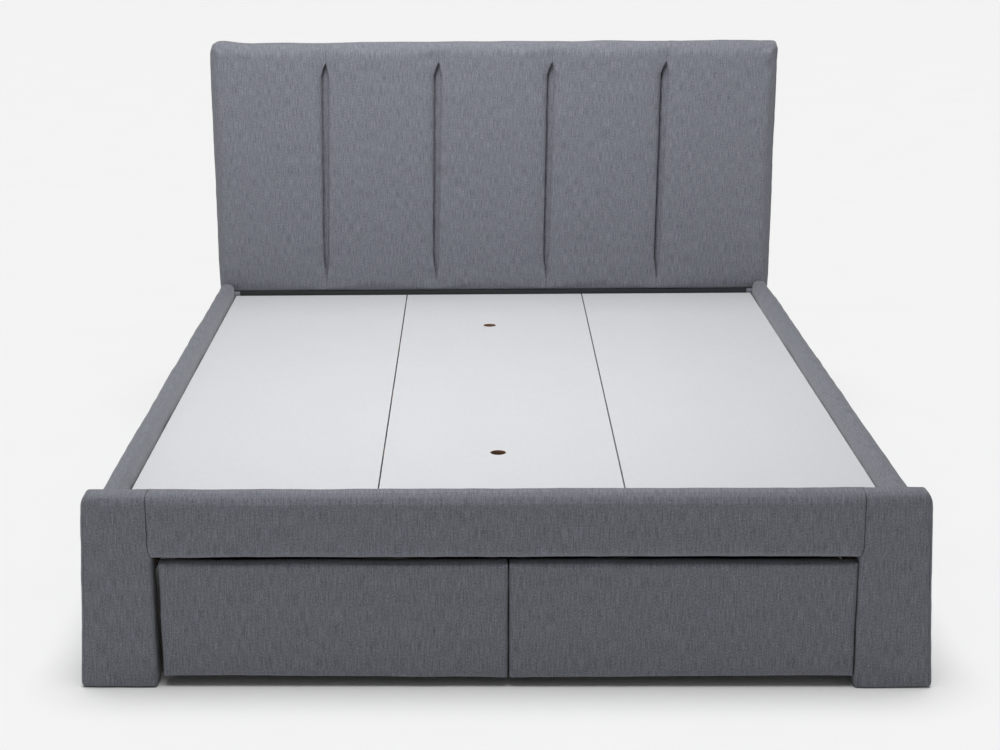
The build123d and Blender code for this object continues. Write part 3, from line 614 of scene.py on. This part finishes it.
def make_foot_post(side, sign, material):
    """The padded foot post, whose seam to the rail curves in to the corner of the opening."""
    node = f"foot_post_cover_{side}"
    low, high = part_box(node)
    core_low, core_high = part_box(f"foot_post_core_{side}")
    rail_low, rail_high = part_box("foot_rail_core")
    opening_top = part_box("foot_rail_cover")[0].z
    wide_inner, outer = sorted((abs(low.x), abs(high.x)))
    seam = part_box("foot_rail_cover")[1].x + FIT
    core_inner, core_outer = sorted((abs(core_low.x), abs(core_high.x)))
    pocket_x = sorted((sign * (core_inner - FIT), sign * (core_outer + FIT)))
    start, end = sorted((sign * seam, sign * outer))
    pocket = (
        (pocket_x[0], core_low.y - FIT, low.z - PAST),
        (pocket_x[1], core_high.y + FIT, core_high.z + FIT),
    )
    door_x = sorted((sign * (seam - PAST), sign * core_inner))
    door = (
        (door_x[0], rail_low.y - FIT, rail_low.z - FIT),
        (door_x[1], rail_high.y + FIT, rail_high.z + FIT),
    )
    groove_x = outer - 6 * MM
    fine_x = both_ends(start, end, 14 * MM, 2.3 * MM)
    fine_x.append((*sorted((sign * seam, sign * (seam + 3 * MM))), 0.6 * MM))
    fine_x.append((*sorted((sign * (groove_x - 3 * MM), sign * (groove_x + 3 * MM))), 0.75 * MM))
    fine_z = [(low.z, low.z + 12 * MM, 3 * MM), (high.z - 20 * MM, high.z, 3 * MM)]
    through_z = [pocket[1][2], door[0][2], opening_top, opening_top + CURVE]
    lines = [
        grid_line(start, end, 7 * MM, fine_x, pocket_x),
        grid_line(low.y, high.y, 7 * MM, foot_fine_y(low, high), [pocket[0][1], pocket[1][1]]),
        grid_line(low.z, high.z, 7 * MM, fine_z, through_z),
    ]
    cover = Cover(lines, [pocket, door])
    z = cover.rest[:, 2]
    inner_radius = np.where(z < opening_top, 6 * MM, 0.8 * MM)
    sides = [inner_radius, np.where(z > high.z - 60 * MM, 15 * MM, 9 * MM)]
    low_x, high_x = sides if sign > 0 else sides[::-1]
    front_radius, back_radius = foot_radii(z, high.z)
    near_outer = smooth((np.abs(cover.rest[:, 0]) - outer + 40 * MM) / (30 * MM))
    top_radius = 18 * MM + 7 * MM * near_outer
    bottom_radius = 5 * MM + 6 * MM * near_outer
    cover.round_edges(
        np.stack([low_x, front_radius, bottom_radius], axis=1),
        np.stack([high_x, back_radius, top_radius], axis=1),
    )
    lean = np.clip((opening_top + CURVE - z) / CURVE, 0, 1) ** 2 * (seam - wide_inner)
    across = (outer - np.abs(cover.rest[:, 0])) / (outer - seam)
    cover.points[:, 0] -= sign * lean * across * cover.outer
    # The outer side spreads towards the floor, fastest low down.
    spread = (outer - core_outer - 13 * MM) * (1 - np.clip(1 - z / high.z, 0, 1) ** 1.3)
    cover.points[:, 0] -= sign * spread * (1 - across) * cover.outer
    cover.to_object(f"foot_post_{side}", material)
    at_seam = (across * (outer - seam) > outer - seam - 2 * MM) & (z > opening_top)
    held = ~cover.outer | cover.on_high[:, 1] | (across > 0.96) | cover.on_low[:, 2]
    cover.swell(held, pressure=2.0, most=1.5 * MM)
    uneven = 0.5 * MM * hills(cover.rest, size=0.12, seed=31 + sign)
    uneven += 0.2 * MM * hills(cover.rest, size=0.03, seed=33)
    cover.push((uneven - 0.3 * MM) * ~at_seam)
    # The sewn edge between the post's front and its outer side.
    sewn = bell(np.abs(cover.rest[:, 0]) - groove_x, 1.2 * MM) * (cover.rest[:, 1] < low.y + 30 * MM)
    cover.push(-1.8 * MM * sewn * smooth((high.z - 12 * MM - z) / (20 * MM)))
    finish_cover(cover, node, "frame")


def foot_fine_y(low, high):
    """The fine zones from the foot's front to its back."""
    return [(low.y, low.y + 20 * MM, 2.5 * MM), (high.y - 18 * MM, high.y, 2.5 * MM)]


def foot_radii(z, top):
    """The foot's front and back edge radii by height: small low down, a round roll at the top."""
    to_top = smooth((z - top + 50 * MM) / (28 * MM))
    return 9 * MM + 9 * MM * to_top, 4 * MM + 12 * MM * to_top


def make_foot_rail(material):
    """The padded top rail of the foot, between the two post seams."""
    low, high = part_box("foot_rail_cover")
    core_low, core_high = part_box("foot_rail_core")
    opening = abs(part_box("foot_post_cover_left")[1].x)
    tunnel = (
        (low.x - PAST, core_low.y - FIT, core_low.z - FIT),
        (high.x + PAST, core_high.y + FIT, core_high.z + FIT),
    )
    fine_x = both_ends(low.x, high.x, 3 * MM, 0.6 * MM) + both_ends(low.x, high.x, 20 * MM, 2.5 * MM)
    fine_z = [(low.z, low.z + 10 * MM, 2 * MM), (high.z - 20 * MM, high.z, 3 * MM)]
    lines = [
        grid_line(low.x, high.x, 9 * MM, fine_x),
        grid_line(low.y, high.y, 8 * MM, foot_fine_y(low, high), [tunnel[0][1], tunnel[1][1]]),
        grid_line(low.z, high.z, 6 * MM, fine_z, [tunnel[0][2], tunnel[1][2], low.z + CURVE]),
    ]
    cover = Cover(lines, [tunnel])
    x, z = cover.rest[:, 0], cover.rest[:, 2]
    front_radius, back_radius = foot_radii(z, high.z)
    end_radius = np.full(len(z), 0.8 * MM)
    cover.round_edges(
        np.stack([end_radius, front_radius, np.full(len(z), 7 * MM)], axis=1),
        np.stack([end_radius, back_radius, np.full(len(z), 18 * MM)], axis=1),
    )
    lean = np.clip((low.z + CURVE - z) / CURVE, 0, 1) ** 2 * (high.x + FIT - opening)
    reach = np.clip((np.abs(x) - high.x + 60 * MM) / (60 * MM), 0, 1)
    cover.points[:, 0] -= np.sign(x) * lean * reach * cover.outer
    cover.to_object("foot_rail", material)
    at_seam = np.abs(x) > high.x - 2 * MM
    cover.swell(~cover.outer | cover.on_high[:, 1] | at_seam, pressure=2.0, most=1.5 * MM)
    uneven = 0.5 * MM * hills(cover.rest, size=0.16, seed=41)
    uneven += 0.2 * MM * hills(cover.rest, size=0.035, seed=42)
    cover.push((uneven - 0.3 * MM) * ~at_seam)
    finish_cover(cover, "foot_rail_cover", "frame")


def make_drawer_front(side, material):
    """The padded skin on a drawer front."""
    node = f"drawer_{side}_front_cover"
    low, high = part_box(node)
    board_low, board_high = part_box(f"drawer_{side}_front_board")
    pocket = (
        (board_low.x - FIT, board_low.y - FIT, board_low.z - FIT),
        (board_high.x + FIT, high.y + PAST, board_high.z + FIT),
    )
    lines = []
    for axis in (0, 2):
        fine = both_ends(low[axis], high[axis], 12 * MM, 2 * MM)
        lines.append(grid_line(low[axis], high[axis], 7 * MM, fine, [pocket[0][axis], pocket[1][axis]]))
    deep = grid_line(low.y, high.y, 4 * MM, [(low.y, low.y + 9 * MM, 1.8 * MM)], [pocket[0][1]])
    cover = Cover([lines[0], deep, lines[1]], [pocket])
    cover.round_edges(low_radius=(3.5 * MM, 3 * MM, 4 * MM), high_radius=(3.5 * MM, 3 * MM, 2.5 * MM))
    cover.to_object(f"drawer_front_{side}", material)
    cover.swell(~cover.outer | cover.on_high[:, 1], pressure=2.0, most=1.5 * MM)
    seed = 51 if side == "left" else 55
    uneven = 0.5 * MM * hills(cover.rest, size=0.13, seed=seed)
    uneven += 0.2 * MM * hills(cover.rest, size=0.03, seed=seed + 1)
    cover.push(uneven - 0.6 * MM)
    x, y, z = cover.rest.T
    # The padding stands forward of the board, and the lower edges rise a little outwards.
    forward = 4 * MM
    cover.points[:, 1] -= forward * (high.y - y) / (high.y - low.y) * cover.outer
    cover.points[:, 2] += 0.8 * MM * hills(cover.rest, size=0.22, seed=seed + 2) * cover.on_high[:, 2]
    outwards = (high.x - x if side == "left" else x - low.x) / (high.x - low.x)
    drop = (high.z - z) / (high.z - low.z)
    cover.points[:, 2] += 3.5 * MM * smooth(outwards) * drop * cover.outer
    cover.put_points()
    finish_cover(cover, node, f"drawer_{side}")


def make_back_cloth(material):
    """The thin black cloth stretched over the headboard's back."""
    low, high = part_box("headboard_back_cover")
    lines = [
        grid_line(low.x, high.x, 14 * MM),
        np.array([low.y, high.y]),
        grid_line(low.z, high.z, 14 * MM),
    ]
    cover = Cover(lines)
    piece = cover.to_object("back_cloth", material)
    cover.points[:, 1] += 0.3 * MM * (np.tanh(hills(cover.rest, size=0.12, seed=61)) - 1)
    cover.put_points()
    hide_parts("headboard_back_cover")
    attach(piece, "frame")


# ---- The rest of the CAD ----
def dress_cad_nodes(materials):
    """Give each CAD node its slot's material, and break the boards' sharp edges."""
    boards = {"white_laminate", "timber", "plywood", "drawer_board", "black_board"}
    for part in frame["record"]["subparts"]:
        node = frame["nodes"][part["node"]]
        slot = part["material_slot"]
        if not node.material_slots:
            node.data.materials.append(materials[slot])
        for place in node.material_slots:
            place.material = materials[slot]
        if slot in boards:
            weld = node.modifiers.new("weld", "WELD")
            weld.merge_threshold = 0.01 * MM
            bevel = node.modifiers.new("bevel", "BEVEL")
            bevel.width = 0.6 * MM
            bevel.segments = 2
            bevel.limit_method = "ANGLE"
            bevel.harden_normals = True


def finger_holes():
    """The two finger holes' centres, on the deck's top, from the record's openings."""
    deck_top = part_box("deck_panel_centre")[1].z
    centres = []
    for opening in frame["record"]["physics"]["openings"]:
        if opening["name"].startswith("finger_hole"):
            low, high = opening["box_m"]
            centres.append(((low[0] + high[0]) / 2, (low[1] + high[1]) / 2, deck_top))
    return centres


def build():
    add_camera()
    add_studio(add_floor(make_floor_material()))
    fabric = make_grey_fabric()
    black_cloth = make_black_cloth()
    materials = {
        "grey_fabric": fabric,
        "black_cloth": black_cloth,
        "white_laminate": make_white_laminate(finger_holes(), 30 * MM),
        "timber": make_wood(
            "timber", rgb(0.62, 0.46, 0.28), rgb(0.42, 0.28, 0.15),
            grain_stretch=(0.1, 1, 1), rings=14, roughness=0.62
        ),
        "plywood": make_wood(
            "plywood", rgb(0.58, 0.44, 0.29), rgb(0.40, 0.28, 0.17),
            grain_stretch=(1, 0.12, 1), rings=10, roughness=0.6
        ),
        "black_board": make_wood(
            "black_board", rgb(0.040, 0.040, 0.044), rgb(0.028, 0.028, 0.031),
            grain_stretch=(1, 0.1, 1), rings=9, roughness=0.5
        ),
        "drawer_board": make_wood(
            "drawer_board", rgb(0.72, 0.70, 0.67), rgb(0.66, 0.64, 0.61),
            grain_stretch=(1, 0.1, 1), rings=9, roughness=0.45
        ),
        "castor_plastic": make_plastic("castor_plastic", rgb(0.07, 0.07, 0.075), roughness=0.5),
        "black_plastic": make_plastic("black_plastic", rgb(0.025, 0.025, 0.025), roughness=0.45),
        "bracket_steel": make_metal(
            "bracket_steel", rgb(0.05, 0.05, 0.055), metallic=0.0, roughness=0.45, bump_scale=900
        ),
        "zinc_steel": make_metal(
            "zinc_steel", rgb(0.66, 0.66, 0.65), metallic=1.0, roughness=0.38, bump_scale=500
        ),
    }
    dress_cad_nodes(materials)
    make_headboard_pad(fabric)
    make_foot_rail(fabric)
    for side, sign in (("left", -1), ("right", 1)):
        make_leg_cover(side, fabric)
        make_rail_roll(side, sign, fabric)
        make_foot_post(side, sign, fabric)
        make_drawer_front(side, fabric)
    make_back_cloth(black_cloth)


build()
